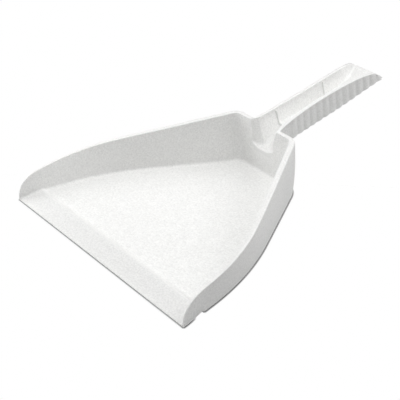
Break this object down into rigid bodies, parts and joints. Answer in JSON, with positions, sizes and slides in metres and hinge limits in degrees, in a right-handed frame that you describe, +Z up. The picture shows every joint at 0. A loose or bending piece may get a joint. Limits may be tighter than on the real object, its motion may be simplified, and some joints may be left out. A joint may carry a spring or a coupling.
{
  "type": "hand dust pan",
  "caption": "White moulded hand dust pan: wide tapered tray with a ramped scraping lip, tall rolled-rim walls and a trough-shaped handle with fluted sides.",
  "frame": {"origin": "centre of the bounding box, on the ground plane that the tray's floor rests on", "axes": "+Y from the scraping lip towards the handle, +Z up, +X to the right seen from the lip's side"},
  "size_m": [0.305, 0.458, 0.0892],
  "materials": {
    "white_plastic": "fine satin moulded texture"
  },
  "bodies": {
    "root": {"lip_ramp": "white_plastic", "floor_panel": "white_plastic", "left_wall": "white_plastic", "right_wall": "white_plastic", "rear_wall_left": "white_plastic", "rear_wall_right": "white_plastic", "throat_left": "white_plastic", "throat_right": "white_plastic", "grip_left": "white_plastic", "grip_right": "white_plastic", "grip_tip": "white_plastic"}
  },
  "joints": []
}
